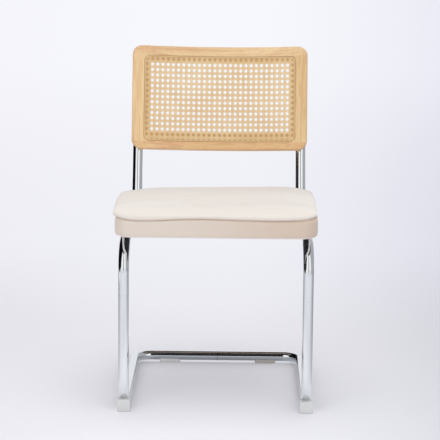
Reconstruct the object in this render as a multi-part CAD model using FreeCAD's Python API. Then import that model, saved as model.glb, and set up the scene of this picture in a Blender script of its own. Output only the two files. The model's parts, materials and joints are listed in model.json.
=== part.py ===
import FreeCAD, Part
import math
import os
from FreeCAD import Vector

# Cantilever dining chair: chromed tube frame in four knock-down lengths, an upholstered boxed seat
# and a curved wooden back panel filled with woven cane. Millimetres, +Z up, the sitter faces -Y.
# While it is built, Y is measured from the axis of the front legs. The finished pieces are moved so
# that the origin lies on the floor under the middle of the chair.

# Tube
tube_d = 25.0
tube_wall = 1.5
fusing_tolerance = 0.0005

# Base: runners on the floor, rear bar, lower legs
leg_spacing = 435.0
base_depth = 462.0
front_bend_r = 60.0
corner_bend_r = 45.0

# Upper frame: upper legs, seat rails, back uprights
rail_reach = 410.0
rail_bend_r = 70.0
back_bend_r = 55.0
upright_toe_in = 7.5
recline = 14.5

# Plug joints of the legs and of the rear bar
collar_height = 9.0
collar_below_bend = 54.0
plug_clear_of_bend = 6.0
plug_clearance = 0.2
bar_plug_length = 90.0

# Seat
seat_underside = 422.5
seat_side_overhang = 21.5
seat_front_overhang = 27.5
seat_rear_gap = 27.5
seat_front_corner_r = 50.0
seat_rear_corner_r = 70.0
least_corner_share = 0.45
boxing_height = 48.0
boxing_round = 16.0
crown_edge_height = 11.5
crown_edge_roll = 11.0
crown_dome_r = 3600.0
seam_height = 2.0
seam_inset = 3.6
seam_roll = 2.4
board_thickness = 12.0
board_inset = 9.0
cover_thickness = 2.0
padding_width = 6.0
cover_fold_width = 17.0
dust_cover_thickness = 0.8
dust_cover_inset = 15.0

# Seat fixings
saddle_thickness = 2.5
saddle_width = 24.0
saddle_length = 34.0
saddle_wrap = 4.0
seat_bolt_from_bend = 34.0
bolt_d = 6.0
bolt_head_d = 12.0
bolt_head_h = 3.5
bolt_clearance = 0.25
nut_d = 10.0
nut_length = 10.0

# Back panel
panel_side_overhang = 14.5
panel_height = 268.0
panel_thickness = 22.0
panel_curve_r = 910.0
panel_corner_r = 25.0
panel_edge_round = 4.5
panel_above_rail = 162.0
panel_above_upright = 35.0
channel_depth = 1.5
channel_clearance = 0.3
top_rail_width = 24.5
bottom_rail_width = 20.5
opening_side = 46.0
opening_top = 39.0
opening_bottom = 43.0
opening_corner_r = 6.0
tenon_thickness = 8.0
tenon_width = 15.0
tenon_length = 26.0
tenon_inset = 10.0

# Cane
cane_thickness = 1.2
cane_columns = 25
cane_rows = 12
cane_hole_margin = 6.0
cane_hole = 8.0
groove_side = 30.5
groove_top = 25.0
groove_bottom = 21.0
groove_width = 4.6
groove_depth = 7.0
groove_corner_r = 14.0
spline_clearance = 0.1
spline_proud = 0.7

# Back bolts and their inserts
back_bolt_inset = 62.0
back_bolt_from_end = 33.0
insert_d = 10.0
insert_length = 12.0
insert_setback = 0.6
insert_end_clearance = 1.5

# End caps
cap_height = 3.0
cap_chamfer = 1.8
cap_plug_length = 12.0
cap_plug_clearance = 0.15

# Glides
glide_floor = 5.0
glide_clearance = 0.15
glide_chamfer = 1.2
front_glide_wall = 3.0
front_glide_ahead = 9.0
front_glide_length = 42.0
front_glide_height = 29.5
front_glide_tail_height = 22.0
rear_glide_length = 53.0
rear_glide_width = 20.0
rear_glide_from_bend = 47.5
rear_glide_corner_r = 4.0
peg_d = 6.0
peg_length = 4.0

# Derived sizes
tube_r = tube_d / 2
bore_r = tube_r - tube_wall
half_legs = leg_spacing / 2
floor_axis_z = glide_floor + tube_r
rail_z = seat_underside - saddle_thickness - tube_r
lean = math.radians(recline)
upright_x = half_legs - upright_toe_in
toe_in = upright_toe_in / rail_reach
joint_height = rail_z - rail_bend_r - collar_below_bend - collar_height
plug_reach = collar_below_bend - plug_clear_of_bend
upright_length = panel_above_rail + panel_height - panel_above_upright
seat_width = leg_spacing + 2 * seat_side_overhang
seat_depth = seat_front_overhang + rail_reach - seat_rear_gap
seat_mid_y = seat_depth / 2 - seat_front_overhang
seam_z = seat_underside + boxing_height
board_z = seat_underside + dust_cover_thickness + cover_thickness
foam_z = board_z + board_thickness
plug_r = bore_r - plug_clearance
bolt_hole_r = bolt_d / 2 + bolt_clearance
panel_width = 2 * (upright_x + panel_side_overhang)
panel_back_r = panel_curve_r + panel_thickness
panel_centre_n = -tube_r + channel_depth - math.sqrt(panel_back_r ** 2 - upright_x ** 2)
panel_top = panel_above_rail + panel_height
chair_front = -seat_front_overhang
panel_rear = (panel_centre_n + panel_back_r) * math.cos(lean) + panel_top * math.sin(lean)
chair_rear = rail_reach + panel_rear
centre_y = (chair_front + chair_rear) / 2

SIDES = {"left": -1, "right": 1}


def save(name, shape):
    """Move a piece to the chair's own origin and write it."""
    moved = shape.copy()
    moved.translate(Vector(0, -centre_y, 0))
    if not moved.isValid():
        print("not valid:", name)
    moved.exportStep("parts/" + name + ".step")


def group(solids):
    return solids[0] if len(solids) == 1 else Part.makeCompound(solids)


def unit(vector):
    return Vector(vector) * (1 / vector.Length)


def rod(start, direction, length, radius):
    return Part.makeCylinder(radius, length, start, direction)


def disc(centre, direction, radius):
    return Part.Face(Part.Wire(Part.makeCircle(radius, centre, direction)))


def tube_section(centre, direction):
    return disc(centre, direction, tube_r).cut(disc(centre, direction, bore_r))


def tube(points, radii):
    """A round tube along straight runs that are joined by tangent bends."""
    parts = []
    start = points[0]
    for i in range(1, len(points)):
        ahead = unit(points[i] - points[i - 1])
        if i == len(points) - 1:
            parts.append(tube_section(start, ahead).extrude(points[i] - start))
            break
        after = unit(points[i + 1] - points[i])
        turn = ahead.getAngle(after)
        setback = radii[i - 1] * math.tan(turn / 2)
        end = points[i] - ahead * setback
        parts.append(tube_section(start, ahead).extrude(end - start))
        axis = unit(ahead.cross(after))
        centre = end + axis.cross(ahead) * radii[i - 1]
        parts.append(tube_section(end, ahead).revolve(centre, axis, math.degrees(turn)))
        start = points[i] + after * setback
    return parts[0].multiFuse(parts[1:], fusing_tolerance).removeSplitter()


def end_edges(solid, point, radius):
    """The round edges of one radius about one point."""
    found = []
    for edge in solid.Edges:
        curve = edge.Curve
        if isinstance(curve, Part.Circle) and abs(curve.Radius - radius) < 0.01:
            if (curve.Center - point).Length < 0.01:
                found.append(edge)
    return found


def edges_at(solid, z):
    """The edges of a solid that lie at one height."""
    found = []
    for edge in solid.Edges:
        box = edge.BoundBox
        if abs(box.ZMin - z) < 0.001 and abs(box.ZMax - z) < 0.001:
            found.append(edge)
    return found


def rounded_outline(width, depth, radii, centre, u_axis, v_axis):
    """A closed wire: a rectangle in the plane of two axes, with the radii of its four corners."""
    corners = [(1, 1), (-1, 1), (-1, -1), (1, -1)]
    steps = [(1, 0), (0, 1), (-1, 0), (0, -1)]

    def at(u, v):
        return centre + u_axis * u + v_axis * v

    edges = []
    last = None
    first = None
    for i in range(4):
        radius = radii[i]
        arc = radius * math.sqrt(0.5)
        cu = corners[i][0] * (width / 2 - radius)
        cv = corners[i][1] * (depth / 2 - radius)
        su, sv = steps[i]
        tu, tv = steps[(i + 1) % 4]
        begin = at(cu + su * radius, cv + sv * radius)
        middle = at(cu + (su + tu) * arc, cv + (sv + tv) * arc)
        end = at(cu + tu * radius, cv + tv * radius)
        if last is not None:
            edges.append(Part.LineSegment(last, begin).toShape())
        else:
            first = begin
        edges.append(Part.Arc(begin, middle, end).toShape())
        last = end
    edges.append(Part.LineSegment(last, first).toShape())
    return Part.Wire(edges)


X = Vector(1, 0, 0)
Y = Vector(0, 1, 0)
Z = Vector(0, 0, 1)


def seat_outline(inset, z):
    """The seat's plan, drawn in by an inset. Wide insets keep a share of each corner."""
    radii = []
    for radius in [seat_rear_corner_r, seat_rear_corner_r, seat_front_corner_r, seat_front_corner_r]:
        radii.append(max(radius - inset, radius * least_corner_share))
    centre = Vector(0, seat_mid_y, z)
    return rounded_outline(seat_width - 2 * inset, seat_depth - 2 * inset, radii, centre, X, Y)


def seat_prism(inset, low, high):
    return Part.Face(seat_outline(inset, low)).extrude(Z * (high - low))


def seat_loft(sections):
    """A ruled body through the seat's plan at a list of insets and heights."""
    return Part.makeLoft([seat_outline(inset, z) for inset, z in sections], True, True)


def rail_point(side, y, z):
    """A point of the upper frame, which closes in towards the back."""
    return Vector(side * (half_legs - y * toe_in), y, z)


def upright_axis(side):
    """Where the axes of rail and upright meet, and the upright's own directions."""
    corner = rail_point(side, rail_reach, rail_z)
    up = unit(rail_point(side, rail_reach + math.sin(lean), rail_z + math.cos(lean)) - corner)
    back = unit(rail_point(side, rail_reach + math.cos(lean), rail_z - math.sin(lean)) - corner)
    return corner, up, back


# Base tubes


def base_points(side):
    x = side * half_legs
    return [
        Vector(0, base_depth, floor_axis_z),
        Vector(x, base_depth, floor_axis_z),
        Vector(x, 0, floor_axis_z),
        Vector(x, 0, joint_height),
    ]


def base_tube(side):
    solid = tube(base_points(side), [corner_bend_r, front_bend_r])
    peg = Vector(side * rear_glide_x(), base_depth, floor_axis_z - tube_r)
    return solid.cut(rod(peg, Z, tube_r, peg_d / 2 + glide_clearance))


# Upper tubes


def upper_points(side):
    corner, up, back = upright_axis(side)
    foot = Vector(side * half_legs, 0, joint_height + collar_height)
    return [foot, Vector(side * half_legs, 0, rail_z), corner, corner + up * upright_length]


def seat_bolt_axes():
    """Points on the rail axes above which the seat is bolted, clear of both bends."""
    front = rail_bend_r + seat_bolt_from_bend
    bend_start = back_bend_r * math.tan((math.pi / 2 - lean) / 2)
    rear = rail_reach - bend_start - seat_bolt_from_bend
    return [rail_point(side, y, rail_z) for side in SIDES.values() for y in (front, rear)]


def back_bolt_axes(side):
    corner, up, back = upright_axis(side)
    heights = [panel_above_rail + back_bolt_inset, upright_length - back_bolt_from_end]
    return [(corner + up * height, back) for height in heights]


def upper_tube(side):
    solid = tube(upper_points(side), [rail_bend_r, back_bend_r])
    cut = []
    for point in seat_bolt_axes():
        if point.x * side > 0:
            cut.append(rod(point - Z * tube_d, Z, 2 * tube_d, bolt_hole_r))
    for point, back in back_bolt_axes(side):
        cut.append(rod(point - back * tube_d, back, 2 * tube_d, bolt_hole_r))
    return solid.cut(cut)


def leg_plug(side):
    """A turned plug that joins the two lengths of a leg, with its flush collar."""
    foot = Vector(side * half_legs, 0, joint_height - plug_reach)
    plug = rod(foot, Z, 2 * plug_reach + collar_height, plug_r)
    return plug.fuse(rod(Vector(foot.x, 0, joint_height), Z, collar_height, tube_r))


def bar_plug():
    return rod(Vector(-bar_plug_length / 2, base_depth, floor_axis_z), X, bar_plug_length, plug_r)


def end_cap(side):
    corner, up, back = upright_axis(side)
    end = corner + up * upright_length
    plug = rod(end - up * cap_plug_length, up, cap_plug_length, bore_r - cap_plug_clearance)
    lip = rod(end, up, cap_height, tube_r)
    lip = lip.makeChamfer(cap_chamfer, end_edges(lip, end + up * cap_height, tube_r))
    return lip.fuse(plug)


# Glides


def side_profile(points, x, width):
    """A block from its outline in the side view, which is closed here."""
    corners = [Vector(x - width / 2, y, z) for y, z in points + points[:1]]
    return Part.Face(Part.makePolygon(corners)).extrude(X * width)


def front_glide(side):
    """A clear shoe that the front bend stands in, walled at both sides of the tube."""
    x = side * half_legs
    front = -front_glide_ahead
    tail = front + front_glide_length
    width = tube_d + 2 * front_glide_wall
    outline = [(front, 0), (tail, 0), (tail, front_glide_tail_height),
               (front + front_glide_length / 2, front_glide_height), (front, front_glide_height)]
    block = side_profile(outline, x, width)
    block = block.makeChamfer(glide_chamfer, edges_at(block, 0) + edges_at(block, front_glide_height))
    outer_r = front_bend_r + tube_r + glide_clearance
    channel_width = tube_d + 2 * glide_clearance
    start = Vector(x - channel_width / 2, front_bend_r, floor_axis_z + front_bend_r)
    return block.cut(rod(start, X, channel_width, outer_r))


def rear_glide_x():
    return half_legs - corner_bend_r - rear_glide_from_bend


def rear_glide(side):
    """A saddle under the rear bar, with a peg that snaps into the tube."""
    centre = Vector(side * rear_glide_x(), base_depth, 0)
    outline = rounded_outline(rear_glide_length, rear_glide_width, [rear_glide_corner_r] * 4, centre, X, Y)
    block = Part.Face(outline).extrude(Z * floor_axis_z)
    block = block.makeChamfer(glide_chamfer, edges_at(block, 0))
    start = centre + Vector(-rear_glide_length, 0, floor_axis_z)
    block = block.cut(rod(start, X, 2 * rear_glide_length, tube_r + glide_clearance))
    peg = rod(centre + Z * (glide_floor - tube_wall), Z, peg_length + tube_wall, peg_d / 2)
    return block.fuse(peg)


# Seat fixings


def seat_saddle(point):
    """A moulded pad between rail and seat, hollowed to the tube."""
    low = rail_z + tube_r - saddle_wrap
    height = seat_underside - low
    corner = Vector(point.x - saddle_width / 2, point.y - saddle_length / 2, low)
    block = Part.makeBox(saddle_width, saddle_length, height, corner)
    side = 1 if point.x > 0 else -1
    begin = rail_point(side, point.y - saddle_length, rail_z)
    along = rail_point(side, point.y + saddle_length, rail_z) - begin
    block = block.cut(rod(begin, unit(along), along.Length, tube_r))
    return block.cut(rod(Vector(point.x, point.y, low), Z, height, bolt_hole_r))


def bolt(bearing, towards, length):
    """A bolt whose head bears at a point and whose shank runs on from there."""
    head_end = bearing - towards * bolt_head_h
    head = rod(head_end, towards, bolt_head_h, bolt_head_d / 2)
    head = head.makeChamfer(bolt_head_h * 0.6, end_edges(head, head_end, bolt_head_d / 2))
    return head.fuse(rod(bearing, towards, length, bolt_d / 2))


def seat_bolt(point):
    """From under the rail, through it and the saddle, into the nut in the board."""
    bearing = Vector(point.x, point.y, rail_z - tube_r)
    return bolt(bearing, Z, foam_z - bearing.z)


def threaded_sleeve(start, direction, length, outer_d):
    """A sleeve nut let into wood. The thread is drawn as a plain bore that fits the bolt."""
    return rod(start, direction, length, outer_d / 2).cut(rod(start, direction, length, bolt_d / 2))


def seat_nut(point):
    return threaded_sleeve(Vector(point.x, point.y, foam_z - nut_length), Z, nut_length, nut_d)


# Seat body


def bolt_holes():
    """Tools for the seat bolts' holes in the sheets under the board."""
    return [rod(point, Z, tube_d * 2, bolt_hole_r) for point in seat_bolt_axes()]


def seat_board():
    solid = seat_prism(board_inset, board_z, foam_z)
    for point in seat_bolt_axes():
        start = Vector(point.x, point.y, board_z)
        solid = solid.cut(rod(start, Z, board_thickness - nut_length, bolt_hole_r))
        solid = solid.cut(rod(start + Z * (board_thickness - nut_length), Z, nut_length, nut_d / 2))
    return solid


def seat_foam():
    """The foam block between the board and the crowned top."""
    return seat_prism(padding_width, foam_z, seam_z)


def rolled_edge(radius_in, radius_up, steps):
    """Insets and heights up a rounded edge, from upright at its foot to level at its top."""
    pairs = []
    for i in range(steps + 1):
        angle = math.pi / 2 * i / steps
        pairs.append((radius_in * (1 - math.cos(angle)), radius_up * math.sin(angle)))
    return pairs


def seat_cover_top():
    """The top cover over its wadding: a dome whose soft edge rolls out over the seam."""
    sections = [(seam_roll, seam_z), (seam_roll * 0.3, seam_z + seam_roll * 0.3), (0, seam_z + seam_roll)]
    top = crown_edge_height - seam_roll
    rise = seat_width ** 2 / 8 / crown_dome_r
    roll = rolled_edge(crown_edge_roll, top, 5)
    sections += [(inset, seam_z + seam_roll + height) for inset, height in roll[1:]]
    inset, high = sections[-1]
    crest_z = high + rise
    sections.append((inset + seat_front_corner_r / 2, crest_z))
    dome = Part.makeSphere(crown_dome_r)
    dome.rotate(Vector(0, 0, 0), Y, 90)
    dome.translate(Vector(0, seat_mid_y, crest_z - crown_dome_r))
    return seat_loft(sections).common(dome)


def seat_cover_band():
    """The boxed side cover, rounded below and turned in under the board."""
    low = seat_underside + dust_cover_thickness
    high = seam_z - seam_height
    sections = [(seam_roll, high), (seam_roll * 0.3, high - seam_roll * 0.3), (0, high - seam_roll)]
    for inset, height in rolled_edge(boxing_round, boxing_round, 5):
        sections.append((inset, low + boxing_round - height))
    band = seat_loft(sections)
    band = band.cut(seat_prism(board_inset, board_z, foam_z))
    band = band.cut(seat_prism(padding_width, foam_z, seam_z))
    return band.cut(seat_prism(cover_fold_width, low, board_z))


def seat_seam():
    """The seam allowances, sewn together and drawn in between top and band."""
    ring = seat_prism(seam_inset, seam_z - seam_height, seam_z)
    return ring.cut(seat_prism(padding_width, seam_z - seam_height, seam_z))


def seat_dust_cover():
    sheet = seat_prism(dust_cover_inset, seat_underside, seat_underside + dust_cover_thickness)
    return sheet.cut(bolt_holes())


# Back panel, drawn upright about the corner of rail and upright, then leaned back


def lean_back(shape):
    leaned = shape.copy()
    leaned.rotate(Vector(0, 0, 0), X, -recline)
    leaned.translate(Vector(0, rail_reach, rail_z))
    return leaned


def stand_up(shape):
    """Bring a chair piece into the upright drawing of the panel."""
    stood = shape.copy()
    stood.translate(Vector(0, -rail_reach, -rail_z))
    stood.rotate(Vector(0, 0, 0), X, recline)
    return stood


def curved_slab(from_front, to_front, low, high):
    """The space between two depths below the panel's curved front, as wide as any piece of it."""
    reach = math.asin((panel_width / 2 + panel_thickness) / panel_curve_r)
    inner = panel_curve_r + from_front
    outer = panel_curve_r + to_front

    def at(radius, angle):
        return Vector(radius * math.sin(angle), panel_centre_n + radius * math.cos(angle), low)

    edges = [
        Part.Arc(at(inner, -reach), at(inner, 0), at(inner, reach)).toShape(),
        Part.LineSegment(at(inner, reach), at(outer, reach)).toShape(),
        Part.Arc(at(outer, reach), at(outer, 0), at(outer, -reach)).toShape(),
        Part.LineSegment(at(outer, -reach), at(inner, -reach)).toShape(),
    ]
    return Part.Face(Part.Wire(edges)).extrude(Z * (high - low))


def panel_prism(side_inset, bottom, top, radius):
    """A prism from front to back, by its distances from the panel's edges."""
    width = panel_width - 2 * side_inset
    height = panel_height - bottom - top
    deep = panel_thickness * 4
    centre = Vector(0, -deep, panel_above_rail + bottom + height / 2)
    return Part.Face(rounded_outline(width, height, [radius] * 4, centre, X, Z)).extrude(Y * 2 * deep)


def panel_slab(from_front, to_front):
    return curved_slab(from_front, to_front, panel_above_rail - 5, panel_top + 5)


def inside_groove(inset):
    """The prism within the groove's outer wall, drawn in by an inset."""
    return panel_prism(groove_side + inset, groove_bottom + inset, groove_top + inset,
                       groove_corner_r - inset)


def groove_band(clearance):
    """The ring in which the spline lies."""
    outer = inside_groove(clearance)
    return outer.cut(inside_groove(groove_width - clearance))


def channel_tool(side):
    """The shallow channel in a stile's back in which the upright and its cap lie."""
    corner, up, back = upright_axis(side)
    start = corner + up * (panel_above_rail * 0.5)
    length = upright_length + cap_height + channel_clearance - panel_above_rail * 0.5
    return stand_up(rod(start, up, length, tube_r + channel_clearance))


def insert_tool(point, back):
    """The hole for an insert, from the channel inwards."""
    depth = tube_r + insert_setback + insert_length + insert_end_clearance
    return stand_up(rod(point, -back, depth, insert_d / 2))


def back_blank():
    """The whole wooden frame before it is parted into rails and stiles."""
    blank = panel_slab(0, panel_thickness).common(panel_prism(0, 0, 0, panel_corner_r))
    rim = []
    for edge in blank.Edges:
        middle = edge.valueAt((edge.FirstParameter + edge.LastParameter) / 2)
        depth = math.hypot(middle.x, middle.y - panel_centre_n) - panel_curve_r
        along = edge.tangentAt((edge.FirstParameter + edge.LastParameter) / 2)
        on_face = abs(depth) < 0.05 or abs(depth - panel_thickness) < 0.05
        if on_face and abs(along.y) < 0.6:
            rim.append(edge)
    blank = blank.makeFillet(panel_edge_round, rim)
    blank = blank.cut(panel_prism(opening_side, opening_bottom, opening_top, opening_corner_r))
    rebate = panel_slab(-5, cane_thickness)
    rebate = rebate.common(inside_groove(0))
    groove = panel_slab(-5, groove_depth).common(groove_band(0))
    blank = blank.cut([rebate, groove])
    tools = [channel_tool(side) for side in SIDES.values()]
    for side in SIDES.values():
        for point, back in back_bolt_axes(side):
            tools.append(insert_tool(point, back))
    return blank.cut(tools)


def stile_block(side):
    low = panel_above_rail + bottom_rail_width
    high = panel_top - top_rail_width
    inner = panel_width / 2 - opening_side
    deep = panel_thickness * 6
    start = inner if side > 0 else -inner - deep
    return Part.makeBox(deep, deep, high - low, Vector(start, -deep / 2, low))


def tenon_blocks():
    """Loose tenons across the four corner joints, in the middle of the wood."""
    middle_r = panel_curve_r + panel_thickness / 2
    joints = [panel_above_rail + bottom_rail_width, panel_top - top_rail_width]
    blocks = []
    for side in SIDES.values():
        x = panel_width / 2 - tenon_inset - tenon_width / 2
        n = panel_centre_n + math.sqrt(middle_r ** 2 - x ** 2)
        for joint in joints:
            corner = Vector(side * x - tenon_width / 2, n - tenon_thickness / 2, joint - tenon_length / 2)
            block = Part.makeBox(tenon_width, tenon_thickness, tenon_length, corner)
            turn = math.degrees(math.asin(x / middle_r))
            block.rotate(Vector(side * x, n, joint), Z, -side * turn)
            blocks.append(block)
    return blocks


def back_frame():
    """Top rail, bottom rail and the two stiles, parted where the tenons join them."""
    blank = back_blank().cut(tenon_blocks())
    blocks = {side: stile_block(side) for side in SIDES.values()}
    rails = blank.cut(list(blocks.values()))
    wide = panel_width * 2
    middle = Vector(-wide / 2, -wide / 2, panel_above_rail + panel_height / 2)
    upper = Part.makeBox(wide, wide, panel_height, middle)
    return {
        "back_rail_top": rails.common(upper),
        "back_rail_bottom": rails.cut(upper),
        "back_stile_left": blank.common(blocks[-1]),
        "back_stile_right": blank.common(blocks[1]),
    }


def back_cane():
    """The woven sheet as one curved sheet with its open squares."""
    sheet = inside_groove(groove_width)
    outline = sheet.Faces[0]
    for face in sheet.Faces:
        if face.BoundBox.YLength < 0.001 and face.BoundBox.YMin < outline.BoundBox.YMin + 0.001:
            outline = face
    y = outline.BoundBox.YMin
    span_x = panel_width - 2 * (opening_side + cane_hole_margin)
    low = panel_above_rail + opening_bottom + cane_hole_margin
    span_z = panel_height - opening_bottom - opening_top - 2 * cane_hole_margin
    pitch_x = span_x / (cane_columns - 1)
    pitch_z = span_z / (cane_rows - 1)
    half = cane_hole / 2
    wires = [outline.OuterWire]
    for i in range(cane_columns):
        for j in range(cane_rows):
            x = -span_x / 2 + i * pitch_x
            z = low + j * pitch_z
            turns = [(-half, -half), (-half, half), (half, half), (half, -half), (-half, -half)]
            wires.append(Part.makePolygon([Vector(x + a, y, z + b) for a, b in turns]))
    net = Part.makeFace(wires, "Part::FaceMakerBullseye")
    deep = panel_thickness * 8
    return net.extrude(Y * deep).common(panel_slab(0, cane_thickness))


def cane_spline():
    """The split reed that is driven into the groove and holds the sheet."""
    ring = groove_band(spline_clearance)
    return panel_slab(-spline_proud, groove_depth - spline_clearance).common(ring)


def back_bolt(point, back):
    """From behind the upright, through it, into the insert."""
    return bolt(point + back * tube_r, -back, tube_d + insert_setback + insert_length)


def back_insert(point, back):
    start = point - back * (tube_r + insert_setback)
    return threaded_sleeve(start, -back, insert_length, insert_d)


def main():
    os.makedirs("parts", exist_ok=True)
    for name, side in SIDES.items():
        save("base_tube_" + name, base_tube(side))
        save("upper_tube_" + name, upper_tube(side))
        save("glide_front_" + name, front_glide(side))
        save("glide_rear_" + name, rear_glide(side))
    sides = SIDES.values()
    save("leg_plugs", group([leg_plug(side) for side in sides]))
    save("bar_plug", bar_plug())
    save("upright_end_caps", group([end_cap(side) for side in sides]))
    places = seat_bolt_axes()
    save("seat_saddles", group([seat_saddle(point) for point in places]))
    save("seat_bolts", group([seat_bolt(point) for point in places]))
    save("seat_nuts", group([seat_nut(point) for point in places]))
    save("seat_board", seat_board())
    save("seat_foam", seat_foam())
    save("seat_cover_top", seat_cover_top())
    save("seat_cover_band", seat_cover_band())
    save("seat_seam", seat_seam())
    save("seat_dust_cover", seat_dust_cover())
    for name, solid in back_frame().items():
        save(name, lean_back(solid))
    save("back_tenons", group([lean_back(block) for block in tenon_blocks()]))
    save("back_cane", lean_back(back_cane()))
    save("back_cane_spline", lean_back(cane_spline()))
    axes = [axis for side in sides for axis in back_bolt_axes(side)]
    save("back_bolts", group([back_bolt(point, back) for point, back in axes]))
    save("back_inserts", group([back_insert(point, back) for point, back in axes]))


main()
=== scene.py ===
import json
import math

import bmesh
import bpy
from mathutils import Matrix, Vector, noise


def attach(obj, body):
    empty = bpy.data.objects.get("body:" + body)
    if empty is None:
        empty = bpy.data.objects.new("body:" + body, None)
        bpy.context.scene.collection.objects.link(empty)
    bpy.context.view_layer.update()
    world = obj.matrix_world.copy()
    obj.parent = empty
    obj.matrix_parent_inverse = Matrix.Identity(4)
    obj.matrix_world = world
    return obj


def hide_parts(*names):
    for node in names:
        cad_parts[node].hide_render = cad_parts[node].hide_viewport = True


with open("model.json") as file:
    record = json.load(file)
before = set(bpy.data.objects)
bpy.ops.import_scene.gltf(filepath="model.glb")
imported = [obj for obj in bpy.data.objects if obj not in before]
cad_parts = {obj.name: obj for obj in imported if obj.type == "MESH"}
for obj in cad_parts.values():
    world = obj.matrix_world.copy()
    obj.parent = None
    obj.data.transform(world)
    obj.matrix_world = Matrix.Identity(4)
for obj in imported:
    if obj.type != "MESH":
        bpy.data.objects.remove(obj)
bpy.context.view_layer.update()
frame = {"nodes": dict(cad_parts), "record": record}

# The chair's own sizes, in metres, as the construction has them. Its front legs stand at -MID_Y.
MID_Y = 0.25136
HALF_LEGS = 0.2175
TUBE_R = 0.0125
RAIL_REACH = 0.410
RAIL_Z = 0.4075
TOE_IN = 0.0075
LEAN = math.radians(14.5)
BACK_BEND_R = 0.055
UPRIGHT_X = 0.210
PANEL_R = 0.910
PANEL_THICK = 0.022
PANEL_BACK_R = PANEL_R + PANEL_THICK
PANEL_MID_N = -TUBE_R + 0.0015 - math.sqrt(PANEL_BACK_R ** 2 - UPRIGHT_X ** 2)
PANEL_LOW = 0.162
PANEL_HIGH = 0.268
PANEL_HALF = 0.2245
GROOVE_INSETS = (0.0305, 0.0250, 0.0210)  # from the panel's side, top and bottom
JOINT_Z = 0.2745
COLLAR_HIGH = 0.009
BASE_Y = 0.462 - MID_Y
FLOOR_AXIS_Z = 0.0175
BEND_R = 0.060
SEAT_HALF = Vector((0.239, 0.205))
SEAT_MID_Y = 0.1775 - MID_Y
SEAT_LOW = 0.4225
SEAM_Z = 0.4705
CROWN_R = 3.6
FRONT_CORNER = 0.050
REAR_CORNER = 0.070
QUARTER = math.pi / 2


# Selecting and shaping, as by hand


def only(obj):
    """Make one object the selected and active one."""
    bpy.ops.object.select_all(action="DESELECT")
    obj.select_set(True)
    bpy.context.view_layer.objects.active = obj
    return obj


def named(name):
    """Name the active object and its mesh."""
    obj = bpy.context.object
    obj.name = name
    obj.data.name = name
    return obj


def fresh(make, **settings):
    """Make an object with one of the primitive operators, with nothing else selected."""
    bpy.ops.object.select_all(action="DESELECT")
    make(**settings)
    return bpy.context.object


def edit(on):
    bpy.ops.object.mode_set(mode="EDIT" if on else "OBJECT")


def pick(kind, test):
    """In edit mode, select just the vertices, edges or faces that pass a test."""
    bpy.ops.mesh.select_all(action="DESELECT")
    bpy.ops.mesh.select_mode(type=kind)
    mesh = bmesh.from_edit_mesh(bpy.context.object.data)
    for element in {"VERT": mesh.verts, "EDGE": mesh.edges, "FACE": mesh.faces}[kind]:
        if test(element):
            element.select_set(True)
    mesh.select_flush_mode()
    bmesh.update_edit_mesh(bpy.context.object.data)


def use(obj, kind, **settings):
    """Add a modifier, set it and apply it."""
    only(obj)
    modifier = obj.modifiers.new(kind.lower(), kind)
    for name, value in settings.items():
        setattr(modifier, name, value)
    bpy.ops.object.modifier_apply(modifier=modifier.name)
    return obj


def place(obj):
    """Put an object's place, turn and scale into its mesh."""
    only(obj)
    bpy.ops.object.transform_apply(location=True, rotation=True, scale=True)
    return obj


def together(objs, name):
    """Join objects into one with a name."""
    bpy.ops.object.select_all(action="DESELECT")
    for obj in objs:
        obj.select_set(True)
    bpy.context.view_layer.objects.active = objs[0]
    if len(objs) > 1:
        bpy.ops.object.join()
    return named(name)


def smooth(obj, degrees):
    only(obj)
    bpy.ops.object.shade_smooth_by_angle(angle=math.radians(degrees))
    return obj


def finish_piece(obj, material, slot, *nodes):
    """Give a made piece its material, hang it from the root, and hide the solids it stands for. The slot
    argument is not used.
    """
    obj.data.materials.clear()
    obj.data.materials.append(material)
    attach(obj, "root")
    if nodes:
        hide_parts(*nodes)
    return obj


def span(obj, axis):
    """The least and the greatest coordinate of an object along one axis."""
    along = [vertex.co[axis] for vertex in obj.data.vertices]
    return min(along), max(along)


def share(value, low, high):
    """An even share from 0 at one value to 1 at another."""
    return min(1, max(0, (value - low) / (high - low)))


def soft_share(value, low, high):
    """A smooth share from 0 at one value to 1 at another."""
    even = share(value, low, high)
    return even * even * (3 - 2 * even)


# Materials


class Wire:
    """A shader socket that can be reckoned with."""

    def __init__(self, bench, socket):
        self.bench = bench
        self.socket = socket

    def reckon(self, kind, a, b=0.0):
        return self.bench.node("ShaderNodeMath", {"operation": kind}, {0: a, 1: b})

    def __add__(self, other):
        return self.reckon("ADD", self, other)

    def __radd__(self, other):
        return self.reckon("ADD", other, self)

    def __sub__(self, other):
        return self.reckon("SUBTRACT", self, other)

    def __mul__(self, other):
        return self.reckon("MULTIPLY", self, other)

    def __rmul__(self, other):
        return self.reckon("MULTIPLY", other, self)

    def __truediv__(self, other):
        return self.reckon("DIVIDE", self, other)

    def sine(self):
        return self.reckon("SINE", self)

    def size(self):
        return self.reckon("ABSOLUTE", self)

    def most(self, other):
        return self.reckon("MAXIMUM", self, other)


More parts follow.
